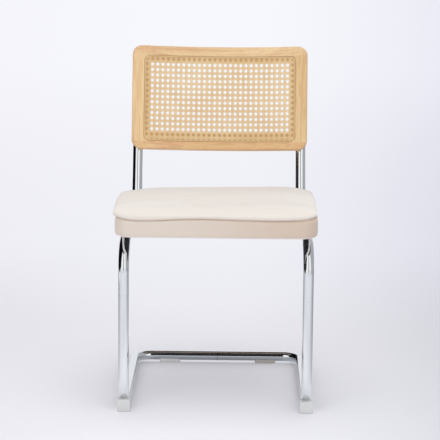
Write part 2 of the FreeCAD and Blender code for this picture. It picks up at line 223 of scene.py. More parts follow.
class Bench:
    """A material's or the world's node tree while it is being made."""

    def __init__(self, owner):
        owner.use_nodes = True
        self.tree = owner.node_tree
        self.tree.nodes.clear()

    def node(self, kind, settings=None, inputs=None, output=0):
        """Add a node, set it and wire it up, and give back one of its outputs."""
        made = self.tree.nodes.new(kind)
        for name, value in (settings or {}).items():
            setattr(made, name, value)
        for key, value in (inputs or {}).items():
            if isinstance(value, Wire):
                self.tree.links.new(value.socket, made.inputs[key])
            else:
                made.inputs[key].default_value = value
        return Wire(self, made.outputs[output]) if made.outputs else None

    def place(self):
        """Object coordinates."""
        return self.node("ShaderNodeTexCoord", output="Object")

    def stretched(self, scale, turn=(0, 0, 0), move=(0, 0, 0)):
        """Object coordinates, turned, then stretched and moved."""
        turned = self.node("ShaderNodeMapping", None, {"Vector": self.place(), "Rotation": turn})
        return self.node("ShaderNodeMapping", None, {"Vector": turned, "Location": move, "Scale": scale})

    def axes(self, vector):
        split = self.node("ShaderNodeSeparateXYZ", None, {0: vector})
        outputs = split.socket.node.outputs
        return [Wire(self, outputs[i]) for i in range(3)]

    def noise(self, vector, scale, detail, rough=0.55, distort=0.0):
        return self.node("ShaderNodeTexNoise", None, {
            "Vector": vector, "Scale": scale, "Detail": detail, "Roughness": rough, "Distortion": distort})

    def soft_step(self, value, low, high):
        return self.node("ShaderNodeMapRange", {"interpolation_type": "SMOOTHSTEP"}, {
            0: value, 1: low, 2: high, 3: 0.0, 4: 1.0})

    def blend(self, amount, first, second):
        """Mix two colours. The type is set first, because it decides which sockets there are."""
        return self.node("ShaderNodeMix", {"data_type": "RGBA"}, {0: amount, 6: first, 7: second}, 2)

    def bearing(self, x, y):
        """The angle round Z from the front, growing to the right."""
        return self.node("ShaderNodeMath", {"operation": "ARCTAN2"}, {0: x, 1: -1.0 * y})

    def ray(self, kind):
        return self.node("ShaderNodeLightPath", output="Is " + kind + " Ray")

    def either(self, amount, first, second):
        """Mix two shaders."""
        return self.node("ShaderNodeMixShader", None, {0: amount, 1: first, 2: second})

    def bump(self, height, distance, strength):
        return self.node("ShaderNodeBump", None, {
            "Height": height, "Distance": distance, "Strength": strength})


def colour(red, green, blue):
    """A colour as it is read off a screen, turned into light."""
    def light(part):
        part = part / 255
        return part / 12.92 if part <= 0.04045 else ((part + 0.055) / 1.055) ** 2.4
    return (light(red), light(green), light(blue), 1)


def surface(name, inputs):
    """A material with one principled surface, from a function that makes its inputs."""
    material = bpy.data.materials.new(name)
    bench = Bench(material)
    values = inputs(bench)
    shader = bench.node("ShaderNodeBsdfPrincipled", None, values)
    bench.node("ShaderNodeOutputMaterial", None, {"Surface": shader})
    return material


def chrome(bench):
    """Polished chromium: faint clouding, a little ripple from the bent tube, rubbed dull spots."""
    cloud = bench.noise(bench.place(), 14, 3)
    rub = bench.noise(bench.stretched((1, 1, 0.25)), 120, 5, 0.6)
    ripple = bench.noise(bench.stretched((1, 1, 0.3)), 26, 1)
    return {
        "Base Color": bench.blend(cloud, colour(233, 236, 238), colour(243, 245, 246)),
        "Metallic": 1.0,
        "Roughness": 0.03 + 0.05 * bench.soft_step(rub, 0.45, 0.8) + 0.02 * cloud,
        "Normal": bench.bump(ripple, 0.0003, 0.25),
    }


def steel(bench):
    """Zinc-plated fasteners."""
    grain = bench.noise(bench.place(), 900, 3)
    return {
        "Base Color": bench.blend(grain, colour(176, 178, 180), colour(206, 206, 204)),
        "Metallic": 1.0,
        "Roughness": 0.28 + 0.14 * grain,
        "Normal": bench.bump(grain, 0.00004, 0.4),
    }


def brass(bench):
    turned = bench.noise(bench.stretched((1, 1, 14)), 400, 3)
    return {
        "Base Color": bench.blend(turned, colour(188, 150, 84), colour(220, 186, 116)),
        "Metallic": 1.0,
        "Roughness": 0.3 + 0.15 * turned,
        "Normal": bench.bump(turned, 0.00005, 0.5),
    }


def wood_along(axis, shift, pale, deep):
    """Bleached beech under satin lacquer. Each board has its own grain, along one axis, and its own tone. The
    right stile's tone is darker as painted shade, with light falling from the left, and the bottom rail's
    tone is darker than the top rail's.
    """
    def inputs(bench):
        turn = (LEAN, 0, 0)
        move = (shift, shift * 1.7, shift * 0.6)

        def grain(long, across, scale, detail, rough=0.5, distort=0.0):
            stretch = (long, across, across) if axis == "x" else (across, across, long)
            return bench.noise(bench.stretched(stretch, turn, move), scale, detail, rough, distort)

        board = grain(0.8, 6, 2.2, 2)
        band = grain(1.1, 16, 3.0, 3, 0.5, 0.3)
        growth = grain(1.2, 30, 4.0, 3, 0.5, 0.35)
        line = (growth * 34.0).sine() * 0.5 + 0.5
        fibre = grain(3, 110, 5.0, 3, 0.6)
        fleck = grain(30, 260, 5.0, 2)
        base = bench.blend(bench.soft_step(board, 0.36, 0.62), colour(*pale), colour(*deep))
        for pattern, start, end, strength, tone in [
            (band, 0.48, 0.66, 0.55, (222, 170, 128)),
            (line, 0.66, 1.0, 0.34, (198, 148, 98)),
            (growth, 0.57, 0.70, 0.40, (198, 146, 100)),
            (fibre, 0.5, 0.76, 0.30, (198, 150, 102)),
            (fleck, 0.64, 0.76, 0.34, (172, 122, 80)),
        ]:
            base = bench.blend(bench.soft_step(pattern, start, end) * strength, base, colour(*tone))
        height = fibre * 0.6 - bench.soft_step(fleck, 0.64, 0.76) * 0.6 + line * 0.12
        return {
            "Base Color": base,
            "Roughness": 0.42 + 0.12 * fibre,
            "Coat Weight": 0.14,
            "Coat Roughness": 0.3,
            "Normal": bench.bump(height, 0.0001, 0.4),
        }
    return inputs


def cane_skin(bench):
    """The glossy skin of peeled rattan, with its nodes, fibres and sun spots."""
    tone = bench.noise(bench.stretched((1, 1, 1), move=(0.2, 0, 0)), 60, 3, 0.6)
    wide = bench.noise(bench.place(), 9, 2)
    spot = bench.noise(bench.place(), 420, 2)
    base = bench.blend(tone, colour(236, 206, 156), colour(222, 184, 130))
    base = bench.blend(bench.soft_step(wide, 0.4, 0.7) * 0.45, base, colour(240, 216, 172))
    base = bench.blend(bench.soft_step(spot, 0.66, 0.8) * 0.5, base, colour(186, 140, 92))
    return {
        "Base Color": base,
        "Roughness": 0.36 + 0.2 * spot,
        "Coat Weight": 0.1,
        "Normal": bench.bump(spot, 0.00006, 0.4),
    }


def reed(bench):
    """The split reed in the groove."""
    fibre = bench.noise(bench.stretched((120, 40, 120), (LEAN, 0, 0)), 4, 4, 0.6)
    return {
        "Base Color": bench.blend(fibre, colour(240, 208, 160), colour(216, 174, 122)),
        "Roughness": 0.5 + 0.15 * fibre,
        "Normal": bench.bump(fibre, 0.0001, 0.5),
    }


def rebate_shade_wood(bench):
    """Wood under the cane's border, darkened as painted shade."""
    fibre = bench.noise(bench.stretched((40, 40, 40), (LEAN, 0, 0)), 6, 4, 0.6)
    return {
        "Base Color": bench.blend(fibre, colour(214, 174, 118), colour(193, 149, 94)),
        "Roughness": 0.7 + 0.2 * fibre,
        "Normal": bench.bump(fibre, 0.0001, 0.4),
    }


def velvet(side):
    """Short cream pile: brushed patches, a fine nap and a soft sheen. The top carries painted shade, darker
    to the back, and a painted highlight, paler at the front. The sides carry painted shade, darker and warmer
    than the top and the more so to the right, and a painted sheen, pale along their lower edge."""
    def inputs(bench):
        x, y, z = bench.axes(bench.place())
        brushed = bench.noise(bench.stretched((3.0, 5.0, 5.0)), 1.7, 3, 0.55, 0.4)
        streak = bench.noise(bench.stretched((8.0, 17.0, 17.0)), 1.5, 3, 0.5)
        nap = bench.noise(bench.place(), 1500, 3, 0.65)
        tuft = bench.noise(bench.place(), 430, 3, 0.6)
        base = bench.blend(bench.soft_step(brushed, 0.35, 0.68), colour(236, 231, 224), colour(231, 224, 215))
        base = bench.blend(bench.soft_step(streak, 0.45, 0.72) * 0.10, base, colour(241, 236, 229))
        if side:
            # Painted shade: the sides darker and warmer than the top, the more so to the right, away from the
            # light at the left.
            shade = bench.blend(bench.soft_step(x, -0.16, 0.24), colour(228, 214, 199), colour(214, 190, 168))
            base = bench.blend(0.8, base, shade)
            # Painted sheen: the lower edge of the sides paler.
            painted_hem_sheen = bench.soft_step(z, SEAT_LOW + 0.008, SEAT_LOW + 0.001)
            base = bench.blend(painted_hem_sheen, base, colour(250, 244, 238))
        else:
            # Painted shade: the top darker towards the back.
            base = bench.blend(bench.soft_step(y, -0.08, 0.12) * 0.63, base, colour(210, 205, 198))
            # Painted highlight: the top paler along the front lip.
            base = bench.blend(bench.soft_step(y, -0.19, -0.25) * 0.45, base, colour(246, 238, 225))
        base = bench.blend(bench.soft_step(nap, 0.5, 0.8) * 0.20, base, colour(212, 197, 183))
        return {
            "Base Color": base,
            "Roughness": 0.86 + 0.1 * tuft,
            "Specular IOR Level": 0.2,
            "Sheen Weight": 0.22,
            "Sheen Roughness": 0.45,
            "Sheen Tint": colour(246, 238, 228),
            "Normal": bench.bump(nap * 0.6 + tuft * 0.5, 0.00035, 0.45),
        }
    return inputs


def seam_cloth(bench):
    """The same pile where it is pressed into the seam, in its own shade."""
    nap = bench.noise(bench.place(), 900, 3, 0.65)
    return {
        "Base Color": bench.blend(nap, colour(214, 196, 180), colour(230, 214, 199)),
        "Roughness": 0.92,
        "Normal": bench.bump(nap, 0.0003, 0.5),
    }


def milky_plastic(bench):
    """Clear soft plastic gone milky, a little scuffed. The glide at the rear right is given a darker colour.
    """
    x, y, _ = bench.axes(bench.place())
    haze = bench.noise(bench.place(), 40, 3)
    scuff = bench.noise(bench.stretched((1, 1, 3)), 220, 4)
    rear_right_darker = bench.soft_step(y, 0.1, 0.2) * bench.soft_step(x, 0.0, 0.1)
    base = bench.blend(haze, colour(238, 239, 237), colour(247, 247, 245))
    return {
        "Base Color": bench.blend(rear_right_darker, base, colour(206, 200, 192)),
        "Roughness": 0.42 + 0.2 * bench.soft_step(scuff, 0.45, 0.75),
        "Transmission Weight": 0.25,
        "IOR": 1.46,
        "Normal": bench.bump(scuff, 0.00005, 0.15),
    }


def black_plastic(bench):
    grain = bench.noise(bench.place(), 1100, 2)
    return {
        "Base Color": bench.blend(grain, colour(22, 22, 23), colour(40, 40, 42)),
        "Roughness": 0.42 + 0.2 * grain,
        "Normal": bench.bump(grain, 0.0001, 0.5),
    }


def plywood(bench):
    """Birch ply: face grain, and layers of 1.5 mm where the edge shows."""
    _, _, z = bench.axes(bench.place())
    layer = (z * 2094.0).sine() * 0.5 + 0.5
    face = bench.noise(bench.stretched((2, 40, 40)), 4, 4, 0.6, 0.5)
    base = bench.blend(face, colour(222, 190, 148), colour(196, 158, 112))
    return {
        "Base Color": bench.blend(bench.soft_step(layer, 0.55, 0.8) * 0.6, base, colour(150, 112, 74)),
        "Roughness": 0.62 + 0.15 * face,
        "Normal": bench.bump(face, 0.0002, 0.4),
    }


def foam(bench):
    cell = bench.node("ShaderNodeTexVoronoi", None, {"Vector": bench.place(), "Scale": 900.0})
    return {
        "Base Color": bench.blend(cell, colour(236, 226, 190), colour(214, 198, 152)),
        "Roughness": 0.95,
        "Normal": bench.bump(cell, 0.0004, 0.6),
    }


def dust_cloth(bench):
    """Thin spun-bonded cloth with its pressed dimples."""
    dimple = bench.node("ShaderNodeTexVoronoi", None, {
        "Vector": bench.stretched((1, 1.4, 1)), "Scale": 620.0})
    fibre = bench.noise(bench.place(), 1400, 4, 0.7)
    return {
        "Base Color": bench.blend(fibre, colour(20, 20, 21), colour(46, 46, 48)),
        "Roughness": 0.8 + 0.15 * fibre,
        "Normal": bench.bump(dimple, 0.0003, 0.6),
    }


# Camera, floor and light


def set_camera():
    """The photograph's camera, solved from the chair itself."""
    yaw, pitch, roll = (math.radians(degrees) for degrees in (0.61, 10.40, 0.49))
    focal, photo, sensor = 1785.9, 440, 36
    ahead = Vector((-math.sin(yaw) * math.cos(pitch), math.cos(yaw) * math.cos(pitch), -math.sin(pitch)))
    right = Vector((math.cos(yaw), math.sin(yaw), 0))
    up = right.cross(ahead)
    tilted_right = right * math.cos(roll) + up * math.sin(roll)
    tilted_up = up * math.cos(roll) - right * math.sin(roll)
    data = bpy.data.cameras.new("photo_camera")
    data.sensor_width = sensor
    data.lens = sensor * focal / photo
    data.clip_end = 100
    camera = bpy.data.objects.new("photo_camera", data)
    bpy.context.scene.collection.objects.link(camera)
    turn = Matrix((tilted_right, tilted_up, -ahead)).transposed().to_4x4()
    camera.matrix_world = Matrix.Translation((0.052, -4.106 - MID_Y, 1.219)) @ turn
    bpy.context.scene.camera = camera


def floor_material():
    """Pale paper that takes the chair's shadow and runs out into a pale background. Paper and background
    carry painted shade to the right and a little to the left, and the paper is darker in front. The metal
    sees painted shade on the paper beside the chair and close in front of the rear bar, and the paper carries
    a painted bright strip under that bar."""
    material = bpy.data.materials.new("studio_paper")
    bench = Bench(material)
    x, y, _ = bench.axes(bench.place())
    tooth = bench.noise(bench.place(), 40, 3)
    far = y.most(0.0)
    across = x / (far * 0.16 + 0.9)
    right_shade = bench.soft_step(across, 0.0, 1.1)
    left_shade = bench.soft_step(across, -0.1, -1.1)
    mirrored = bench.ray("Glossy")
    sheet = bench.blend(tooth, colour(246, 245, 248), colour(248, 247, 250))
    # Painted shade: the paper darker to the right and a little to the left.
    sheet = bench.blend(right_shade * 0.9, sheet, colour(203, 203, 208))
    sheet = bench.blend(left_shade * 0.9, sheet, colour(231, 228, 231))
    sheet = bench.blend(bench.soft_step(y, -0.6, -1.0), sheet, colour(228, 228, 231))
    # Painted shade that only the metal sees: the paper darker beside the chair.
    beside = bench.soft_step(bench.bearing(x, y).size(), 0.9, 1.9) * bench.soft_step(x.size(), 0.24, 0.5)
    sheet = bench.blend(beside * 0.75 * mirrored, sheet, colour(150, 151, 158))
    # Painted shade that only the metal sees: the paper darker close in front of the rear bar.
    by_bar = bench.soft_step(y, 0.08, 0.14) * bench.soft_step(y, 0.24, 0.22)
    by_bar = by_bar * bench.soft_step(x.size(), 0.20, 0.16)
    sheet = bench.blend(by_bar * mirrored, sheet, colour(190, 191, 197))
    paper = bench.node("ShaderNodeBsdfDiffuse", None, {"Color": sheet})
    deep = bench.soft_step(y, 1.6, 9.0)
    glow = bench.blend(deep, colour(240, 240, 247), colour(247, 248, 253))
    # The background behind carries painted shade to the right and a little to the left.
    right_glow = bench.blend(deep, colour(215, 214, 228), colour(229, 229, 241))
    left_glow = bench.blend(deep, colour(237, 236, 242), colour(243, 242, 249))
    glow = bench.blend(right_shade, glow, right_glow)
    glow = bench.blend(left_shade * 0.7, glow, left_glow)
    away = bench.soft_step(y, 0.22, 1.9).most(bench.soft_step(x.size(), 1.2, 3.0))
    # Painted light: a bright strip glows on the paper under the rear bar, where light comes through under it.
    strip = bench.soft_step((y - BASE_Y - 0.00886).size(), 0.020, 0.011)
    strip = strip * bench.soft_step(x.size(), 0.215, 0.17)
    away = away.most(strip * 0.5)
    backing = bench.node("ShaderNodeEmission", None, {"Color": glow, "Strength": 1.0})
    mixed = bench.either(away * bench.ray("Camera"), paper, backing)
    bench.node("ShaderNodeOutputMaterial", None, {"Surface": mixed})
    return material


def set_floor():
    """A paper sheet under the chair, and a wider floor that metal and clear plastic don't see."""
    paper = floor_material()
    for name, size, middle, drop, shown in [
        ("floor_sheet", (4.4, 6.0), (0.55, 0.4), 0.0, True),
        ("floor_beyond", (60.0, 60.0), (0.0, 0.0), 0.0008, False),
    ]:
        fresh(bpy.ops.mesh.primitive_plane_add, size=1, location=(*middle, -drop))
        obj = named(name)
        obj.scale = (*size, 1)
        place(obj)
        obj.visible_glossy = shown
        obj.visible_transmission = shown
        obj.data.materials.append(paper)


def set_world():
    """A pale room to the camera, and to the metal a studio: dark ceiling, dark left side, two soft
    boxes in front with a gap between them, a grey wall at the right and pale paper behind."""
    world = bpy.data.worlds.new("studio")
    bpy.context.scene.world = world
    bench = Bench(world)
    x, y, z = bench.axes(bench.node("ShaderNodeTexCoord", output="Generated"))
    angle = bench.bearing(x, y)
    ceiling = bench.soft_step(z, 0.76, 0.86)
    gap = bench.soft_step((angle - 0.035).size(), 0.13, 0.085)
    boxes = bench.soft_step(angle, -0.92, -0.72) * bench.soft_step(angle, 1.0, 0.80)
    grey_wall = bench.soft_step(angle, 0.80, 1.0) * bench.soft_step(angle, 2.8, 2.5)
    left_low = (-0.6 * (-1.0 * angle - 0.91) + 0.09).most(-0.15)
    dark_left = (bench.soft_step(angle, -0.80, -0.95) * bench.soft_step(angle, -2.9, -2.6)
                 * bench.soft_step(z - left_low, -0.03, 0.03))
    box_light = bench.blend(bench.soft_step(z, -0.16, 0.16), colour(226, 227, 232), (1.0, 1.0, 0.99, 1))
    room = bench.blend(boxes, colour(236, 237, 241), box_light)
    room = bench.blend(grey_wall, room, colour(172, 174, 178))
    room = bench.blend(gap * bench.soft_step(z, -0.14, 0.06), room, colour(28, 28, 30))
    room = bench.blend(dark_left, room, colour(12, 12, 13))
    room = bench.blend(ceiling, room, colour(16, 16, 18))

    def background(tone, strength=1.0):
        return bench.node("ShaderNodeBackground", None, {"Color": tone, "Strength": strength})

    behind = bench.soft_step(y, -0.1, 0.8) * bench.soft_step(z, 0.75, 0.1)
    aside = bench.soft_step(x.size(), 0.55, 0.95)
    light = background(colour(240, 241, 246), 0.78 + 1.5 * behind - 0.4 * aside)
    lit = bench.either(bench.ray("Glossy"), light, background(room))
    seen = bench.ray("Camera").most(bench.ray("Transmission"))
    full = bench.either(seen, lit, background(colour(241, 241, 250)))
    bench.node("ShaderNodeOutputWorld", None, {"Surface": full})


def soft_lamp(name, where, at, size, power):
    """A soft box that lights the chair but isn't mirrored in it."""
    data = bpy.data.lights.new(name, "AREA")
    data.shape = "RECTANGLE"
    data.size, data.size_y = size
    data.energy = power
    lamp = bpy.data.objects.new(name, data)
    bpy.context.scene.collection.objects.link(lamp)
    lamp.location = where
    lamp.rotation_euler = (Vector(at) - Vector(where)).to_track_quat("-Z", "Y").to_euler()
    lamp.visible_glossy = False


def set_lamps():
    """Large soft boxes, which the world shows to the metal in their stead."""
    soft_lamp("overhead_box", (0.2, -0.7, 3.0), (0, 0, 0.3), (2.2, 2.2), 20)
    soft_lamp("left_box", (-1.5, -3.0, 1.7), (0, 0, 0.4), (1.2, 1.8), 16)
    soft_lamp("right_box", (1.6, -3.0, 1.5), (0, 0, 0.4), (1.2, 1.8), 11)


# Cane


def lean_back(across, depth, up):
    """A place on the panel: across it, behind its front face and above the rail's axis."""
    forward = PANEL_MID_N + math.sqrt(PANEL_R ** 2 - across ** 2) + depth
    y = forward * math.cos(LEAN) + up * math.sin(LEAN)
    z = up * math.cos(LEAN) - forward * math.sin(LEAN)
    return Vector((across, RAIL_REACH - MID_Y + y, RAIL_Z + z))


def flat_strand(length, width, thick, cuts):
    """A peeled strand along Z: a bar with its outer edges rounded, open at the ends, cut for bending."""
    strand = fresh(bpy.ops.mesh.primitive_cube_add, size=1)
    strand.scale = (width, thick, length)
    place(strand)
    edit(True)
    pick("FACE", lambda f: abs(f.normal.z) > 0.9)
    bpy.ops.mesh.delete(type="FACE")
    pick("EDGE", lambda e: abs(e.verts[0].co.z - e.verts[1].co.z) > length / 2 and e.verts[0].co.y < 0)
    bpy.ops.mesh.bevel(offset=thick * 0.62, segments=1)
    for i in range(1, cuts):
        bpy.ops.mesh.select_all(action="SELECT")
        bpy.ops.mesh.bisect(plane_co=(0, 0, length * (i / cuts - 0.5)), plane_no=(0, 0, 1))
    edit(False)
    return strand


def weave(strand, lift):
    """Raise and sink a strand along its length."""
    for vertex in strand.data.vertices:
        vertex.co.y -= lift(vertex.co.z)
    return strand


def cane_cell(across, up):
    """One repeat of the six-way weave, about the crossing of its upright and level pairs. Its four
    slanting halves meet those of the next repeats."""
    pair = 0.00155
    wide = 0.0024
    slant_wide = 0.0021
    thick = 0.00042
    dip = 0.00021
    dip_reach = 0.0011
    bend = 0.00046
    parts = []

    def crossing(sign):
        def lift(z):
            near = math.exp(-((z - pair) / dip_reach) ** 2) - math.exp(-((z + pair) / dip_reach) ** 2)
            return sign * dip * near
        return lift

    for sign in (-1, 1):
        upright = weave(flat_strand(up, wide, thick, 8), crossing(sign))
        upright.location.x = sign * pair
        parts.append(place(upright))
        level = weave(flat_strand(across, wide, thick, 8), crossing(-sign))
        level.rotation_euler.y = QUARTER
        level.location.z = -sign * pair
        parts.append(place(level))
    long = math.hypot(across, up) / 2
    slope = math.atan2(across, up)
    for rise, sideways, first in [(1, 1, 1), (1, -1, -1), (-1, 1, -1), (-1, -1, 1)]:
        half = weave(flat_strand(long, slant_wide, thick, 4),
                     lambda z, first=first: first * bend * math.cos(math.pi * (z / long + 0.5)))
        half.rotation_euler.y = rise * slope
        half.location = (sideways * across / 4, 0, -rise * sideways * up / 4)
        parts.append(place(half))
    return together(parts, "cane_webbing")


def make_cane():
    """The webbing: one repeat in rows and columns, trimmed to the groove and laid on the curve."""
    across, up = 0.01335, 0.01395
    columns, rows = 30, 16
    middle = PANEL_LOW + 0.136
    half_x, low, high = 0.1893, PANEL_LOW + 0.0257, PANEL_LOW + 0.2383
    corner = 0.0055
    depth = 0.0005
    sheet = cane_cell(across, up)
    for count, step in ((columns, (across, 0, 0)), (rows, (0, 0, up))):
        use(sheet, "ARRAY", count=count, use_relative_offset=False, use_constant_offset=True,
            constant_offset_displace=step, use_merge_vertices=True, merge_threshold=0.00005)
    sheet.location = (-across * (columns - 1) / 2, 0, middle - up * (rows - 1) / 2)
    place(sheet)
    edit(True)
    cuts = [((half_x, 0, 0), (1, 0, 0)), ((-half_x, 0, 0), (-1, 0, 0)),
            ((0, 0, high), (0, 0, 1)), ((0, 0, low), (0, 0, -1))]
    for sx in (-1, 1):
        for z, sz in ((high, 1), (low, -1)):
            cuts.append(((sx * half_x - sx * corner, 0, z), (sx, 0, sz)))
    for spot, outward in cuts:
        bpy.ops.mesh.select_all(action="SELECT")
        bpy.ops.mesh.bisect(plane_co=spot, plane_no=outward, clear_outer=True)
    edit(False)
    for vertex in sheet.data.vertices:
        wobble = 0.00012 * noise.noise(vertex.co * 60)
        vertex.co = lean_back(vertex.co.x, vertex.co.y + depth + wobble, vertex.co.z)
    smooth(sheet, 50)
    finish_piece(sheet, MATERIALS["cane"], "cane", "back_cane")


def panel_ring(name, corner, rings):
    """A closed band round the cane. Each ring gives the insets of side, top and bottom from the
    panel's edges and its depth; the last ring is bridged to the first."""
    def reach(ring):
        """A ring's half width, its height and the height of its middle."""
        side, top, bottom, _ = ring
        return PANEL_HALF - side, PANEL_HIGH - top - bottom, PANEL_LOW + (bottom + PANEL_HIGH - top) / 2

    fresh(bpy.ops.mesh.primitive_plane_add, size=1, rotation=(QUARTER, 0, 0))
    band = named(name)
    place(band)
    edit(True)
    bpy.ops.mesh.select_all(action="SELECT")
    half, tall, middle = reach(rings[0])
    bpy.ops.transform.resize(value=(2 * half, 1, tall), center_override=(0, 0, 0))
    bpy.ops.transform.translate(value=(0, rings[0][3], middle))
    bpy.ops.mesh.bevel(offset=corner, segments=6, affect="VERTICES")
    pick("EDGE", lambda e: e.calc_length() > 0.1)
    bpy.ops.mesh.subdivide(number_cuts=40)
    bpy.ops.mesh.select_all(action="SELECT")
    bpy.ops.mesh.delete(type="ONLY_FACE")
    bpy.ops.mesh.select_all(action="SELECT")
    for last, ring in zip(rings, rings[1:]):
        bpy.ops.mesh.extrude_edges_move(TRANSFORM_OT_translate={"value": (0, ring[3] - last[3], 0)})
        half, tall, middle = reach(last)
        new_half, new_tall, new_middle = reach(ring)
        bpy.ops.transform.resize(value=(new_half / half, 1, new_tall / tall), center_override=(0, 0, middle))
        bpy.ops.transform.translate(value=(0, 0, new_middle - middle))
    pick("EDGE", lambda e: len(e.link_faces) == 1)
    bpy.ops.mesh.bridge_edge_loops()
    bpy.ops.mesh.select_all(action="SELECT")
    bpy.ops.mesh.normals_make_consistent(inside=False)
    edit(False)
    for vertex in band.data.vertices:
        vertex.co = lean_back(*vertex.co)
    return band


def make_spline():
    """The half-round reed in the groove, a little narrower than it: a fine shadow runs outside it."""
    profile = [(0.0008, 0.0060), (0.0008, 0.0007), (0.0013, 0.0000), (0.0022, -0.0005),
               (0.0031, -0.0005), (0.0039, 0.0001), (0.0044, 0.0009), (0.0044, 0.0060)]
    rings = [(*(edge + inset for edge in GROOVE_INSETS), depth) for inset, depth in profile]
    reed_ring = panel_ring("cane_spline_reed", 0.0130, rings)
    smooth(reed_ring, 40)
    finish_piece(reed_ring, MATERIALS["reed"], "spline", "back_cane_spline")


def make_rebate_shade():
    """A dark floor of the rebate, painted shade which shows through the outermost holes of the weave. Its
    insets are from the panel's side, top and bottom."""
    outer = (0.0352, 0.0297, 0.0257)
    inner = (0.0456, 0.0386, 0.0426)
    front, back = 0.00116, 0.00124
    rings = [(*outer, front), (*inner, front), (*inner, back), (*outer, back)]
    rebate_shade = panel_ring("rebate_painted_shade", 0.0090, rings)
    smooth(rebate_shade, 30)
    finish_piece(rebate_shade, MATERIALS["rebate_shade"], "back_wood")


# Seat


def seam_sway(x, y):
    """How far the sewn seam wanders up or down: as on the real seat in front, and freely elsewhere."""
    front = [(-0.245, 0.0006), (-0.18, -0.0028), (-0.04, 0.0022), (0.09, -0.0002),
             (0.135, -0.0010), (0.21, 0.0010), (0.245, 0.0022)]
    sway = front[0][1]
    for (x0, z0), (x1, z1) in zip(front, front[1:]):
        sway += (z1 - z0) * soft_share(x, x0, x1)
    free = 0.0016 * noise.noise(Vector((x * 9, y * 9, 3.7)))
    front_y = SEAT_MID_Y - SEAT_HALF.y
    behind = share(y, front_y + 0.03, front_y + 0.13)
    return sway * (1 - behind) + free * behind


def seat_plan(name, inset, z):
    """The seat's plan as one flat face, drawn in by an inset; edit mode is left on."""
    fresh(bpy.ops.mesh.primitive_plane_add, size=1, location=(0, SEAT_MID_Y, z))
    plan = named(name)
    plan.scale = (2 * (SEAT_HALF.x - inset), 2 * (SEAT_HALF.y - inset), 1)
    place(plan)
    edit(True)
    for radius, end in ((FRONT_CORNER, -1), (REAR_CORNER, 1)):
        pick("VERT", lambda v: (v.co.y - SEAT_MID_Y) * end > 0)
        bpy.ops.mesh.bevel(offset=radius - inset, segments=12, affect="VERTICES")
    bpy.ops.mesh.select_all(action="SELECT")
    return plan


def seat_block(name, levels):
    """A closed block in the seat's plan, from its insets and heights."""
    block = seat_plan(name, *levels[0])
    middle = Vector((0, SEAT_MID_Y, 0))
    for (last, low), (inset, high) in zip(levels, levels[1:]):
        bpy.ops.mesh.extrude_region_move(TRANSFORM_OT_translate={"value": (0, 0, high - low)})
        middle.z = high
        fit = [(half - inset) / (half - last) for half in SEAT_HALF]
        bpy.ops.transform.resize(value=(fit[0], fit[1], 1), center_override=middle)
    bpy.ops.mesh.select_all(action="SELECT")
    bpy.ops.mesh.normals_make_consistent(inside=False)
    edit(False)
    return block


def fit_plan(pad, half_x, half_y, shift):
    """Stretch a pad in plan to its own half width and half depth, let its sides bow out a little
    between the corners, and move it sideways."""
    most_bow, bow_end = 0.0046, 0.19
    left, right = span(pad, 0)
    front, rear = span(pad, 1)
    wide = 2 * half_x / (right - left)
    deep = 2 * half_y / (rear - front)
    for vertex in pad.data.vertices:
        x = (vertex.co.x - (right + left) / 2) * wide
        y = (vertex.co.y - (rear + front) / 2) * deep
        bow = most_bow * max(0, 1 - (y / bow_end) ** 2)
        vertex.co.x = x * (1 + bow / half_x) + shift
        vertex.co.y = y + SEAT_MID_Y


def puff(pad, limit):
    """Let the cover swell over its filling, and hold each point within a limit."""
    frames = 20
    only(pad)
    start = [vertex.co.copy() for vertex in pad.data.vertices]
    cloth = pad.modifiers.new("cover", "CLOTH")
    cloth.settings.use_pressure = True
    cloth.settings.uniform_pressure_force = 4.0
    cloth.settings.effector_weights.gravity = 0
    cloth.settings.tension_stiffness = 12
    cloth.settings.compression_stiffness = 12
    cloth.settings.bending_stiffness = 0.6
    cloth.settings.quality = 4
    cloth.point_cache.frame_start = 1
    cloth.point_cache.frame_end = frames
    for step in range(1, frames + 1):
        bpy.context.scene.frame_set(step)
    bpy.ops.object.modifier_apply(modifier=cloth.name)
    bpy.context.scene.frame_set(1)
    for vertex, old in zip(pad.data.vertices, start):
        moved = vertex.co - old
        most = limit(old)
        if moved.length > most:
            vertex.co = old + moved * (most / moved.length)
    return pad


def outline_inset(x, y):
    """How far a point is inside the seat's plan."""
    corner = REAR_CORNER if y > SEAT_MID_Y else FRONT_CORNER
    dx = abs(x) - (SEAT_HALF.x - corner)
    dy = abs(y - SEAT_MID_Y) - (SEAT_HALF.y - corner)
    if dx > 0 and dy > 0:
        return corner - math.hypot(dx, dy)
    return corner - max(dx, dy)


def rear_wear(x, y):
    """How much flatter the wadding is than new: the rear, its corners, and more at the left."""
    everywhere, at_corners, to_left = 0.12, 0.30, 1.3
    behind = soft_share(y, SEAT_MID_Y + 0.06, SEAT_MID_Y + SEAT_HALF.y)
    corner = soft_share(abs(x), 0.13, SEAT_HALF.x)
    return behind * (everywhere + at_corners * corner - to_left * x)


